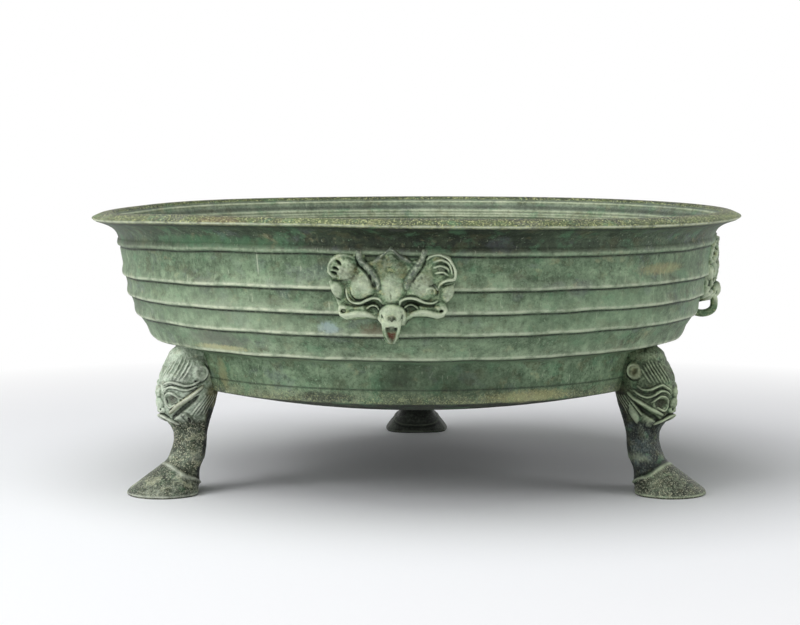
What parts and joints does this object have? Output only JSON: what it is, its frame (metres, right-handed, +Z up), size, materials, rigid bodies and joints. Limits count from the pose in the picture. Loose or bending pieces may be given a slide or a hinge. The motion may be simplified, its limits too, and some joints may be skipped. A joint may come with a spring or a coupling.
{
  "type": "bronze tripod basin",
  "caption": "Round cast bronze basin with a flaring rim, raised bands and monster masks with ring loops, on beast-headed hoofed legs.",
  "frame": {"origin": "on the basin's axis, on the surface that the hooves stand on", "axes": "+Z up along the basin's axis, -Y towards the front mask, +X to its right as seen"},
  "size_m": [0.38, 0.38, 0.1575],
  "materials": {
    "basin_bronze": "cast bronze under a matt sage-green patina",
    "leg_bronze": "cast bronze, dark brown-black patina with golden speckles",
    "mask_bronze": "cast bronze under a matt sage-green patina",
    "rivet_bronze": "cast bronze under a dull green patina",
    "clay_core": "fired casting clay, rough"
  },
  "bodies": {
    "root": {"basin": "basin_bronze", "leg_front_left": "leg_bronze", "leg_front_right": "leg_bronze", "leg_back": "leg_bronze", "leg_core_front_left": "clay_core", "leg_core_front_right": "clay_core", "leg_core_back": "clay_core", "mask_front": "mask_bronze", "mask_right": "mask_bronze", "mask_back": "mask_bronze", "mask_left": "mask_bronze", "leg_rivet_front_left_left": "rivet_bronze", "leg_rivet_front_left_right": "rivet_bronze", "leg_rivet_front_right_left": "rivet_bronze", "leg_rivet_front_right_right": "rivet_bronze", "leg_rivet_back_left": "rivet_bronze", "leg_rivet_back_right": "rivet_bronze", "mask_rivet_front_left": "rivet_bronze", "mask_rivet_front_right": "rivet_bronze", "mask_rivet_right_left": "rivet_bronze", "mask_rivet_right_right": "rivet_bronze", "mask_rivet_back_left": "rivet_bronze", "mask_rivet_back_right": "rivet_bronze", "mask_rivet_left_left": "rivet_bronze", "mask_rivet_left_right": "rivet_bronze"}
  },
  "joints": []
}
